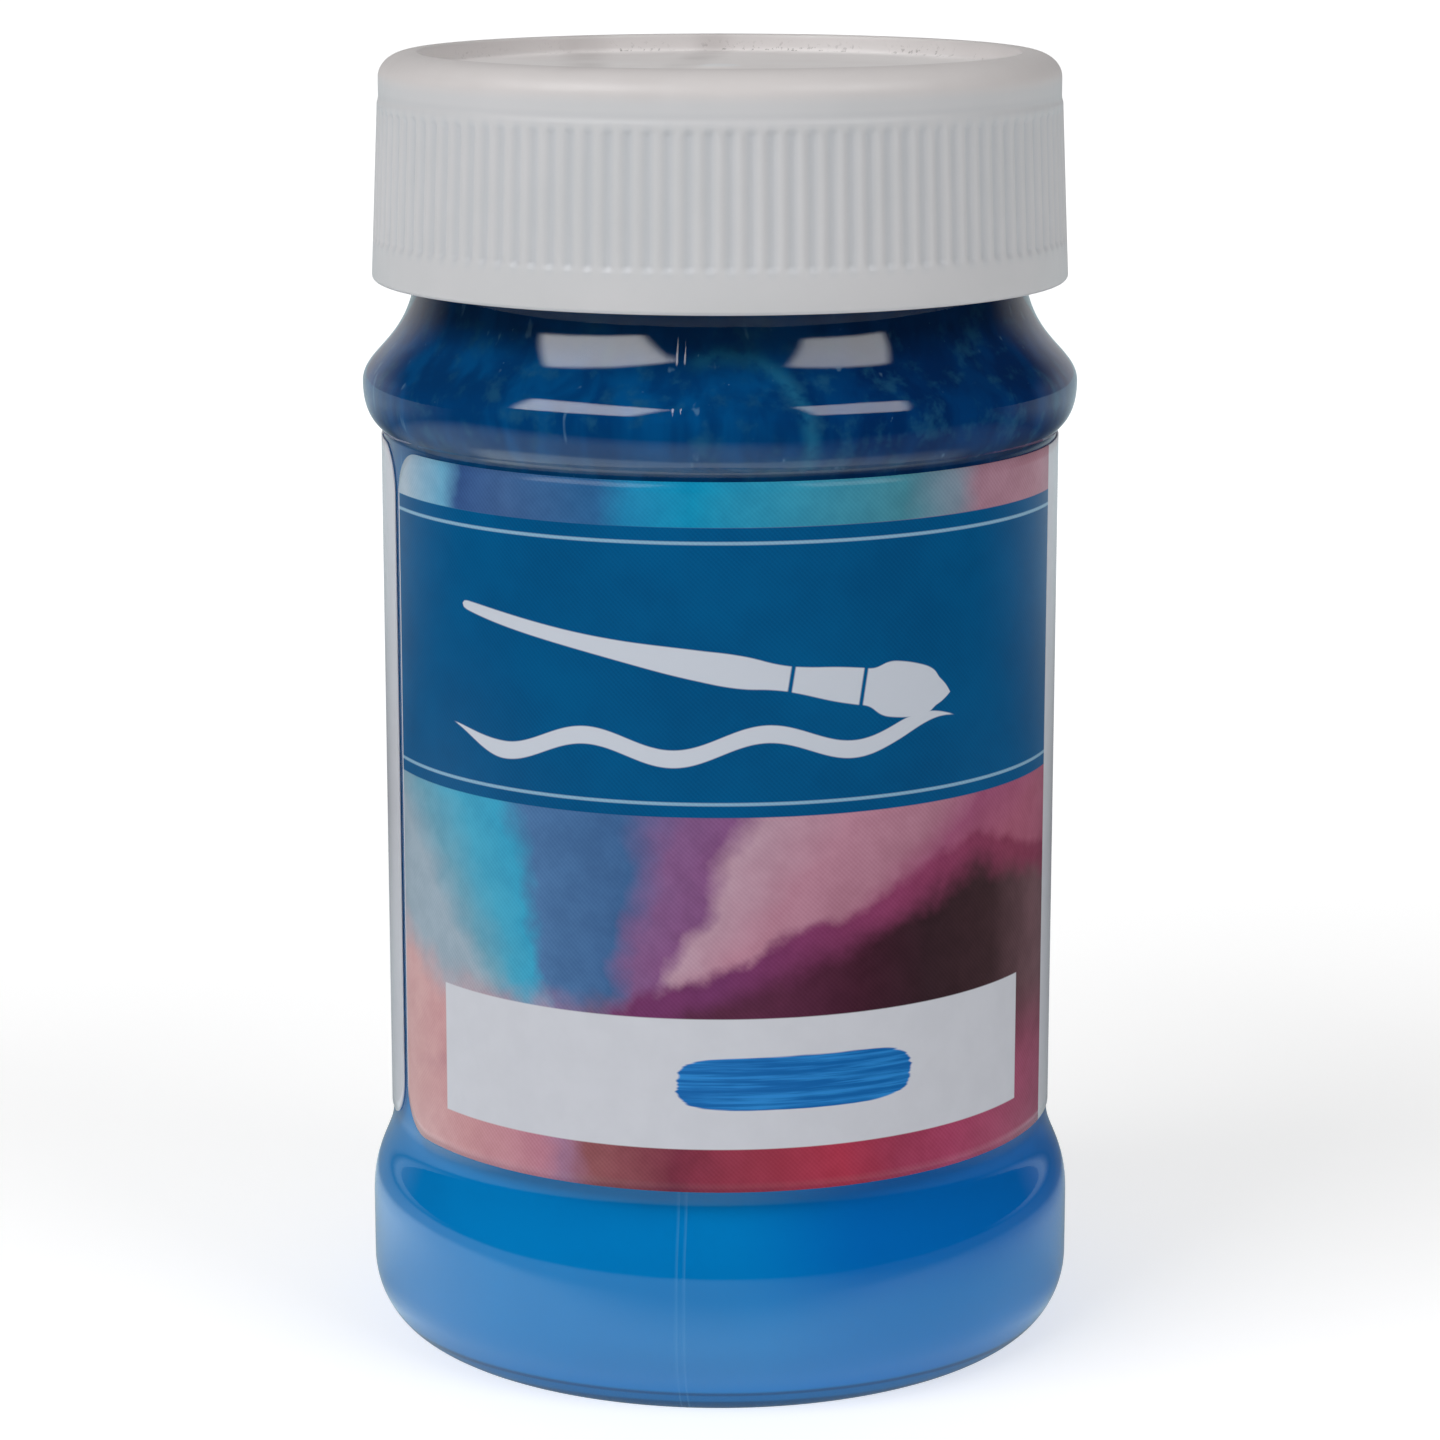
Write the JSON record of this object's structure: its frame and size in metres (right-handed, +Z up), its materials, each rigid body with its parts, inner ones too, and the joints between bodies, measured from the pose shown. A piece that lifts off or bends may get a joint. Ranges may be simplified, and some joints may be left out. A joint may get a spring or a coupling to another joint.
{
  "type": "paint jar",
  "caption": "Round clear plastic jar of water-based craft paint with a ribbed white screw cap, a foam liner and a wrap-round paper label.",
  "frame": {"origin": "centre of the base, in the plane that the jar stands on", "axes": "+Z up along the jar's axis, -Y towards the front, where the coloured panel of the label faces, +X to the right as seen from the front"},
  "size_m": [0.0468, 0.0468, 0.0844],
  "materials": {
    "clear_plastic": "gloss",
    "blue_paint": "gloss",
    "printed_paper": "satin",
    "white_plastic": "satin",
    "liner_foam": "matte"
  },
  "bodies": {
    "jar": {"jar_body": "clear_plastic", "paint_fill": "blue_paint", "wrap_label": "printed_paper"},
    "liner": {"cap_liner": "liner_foam"},
    "cap": {"screw_cap": "white_plastic"}
  },
  "joints": [
    {"name": "cap_lift", "type": "slide", "parent": "jar", "child": "liner", "axis": [0, 0, 1], "range_m": [0, 0.0211]},
    {"name": "cap_turn", "type": "hinge", "parent": "liner", "child": "cap", "pos_m": [0, 0, 0.0824], "axis": [0, 0, 1], "range_deg": [0, 1800]}
  ],
  "couplings": [
    {"joint": "cap_turn", "follows": "cap_lift", "rad_per_m": 1484.2}
  ]
}
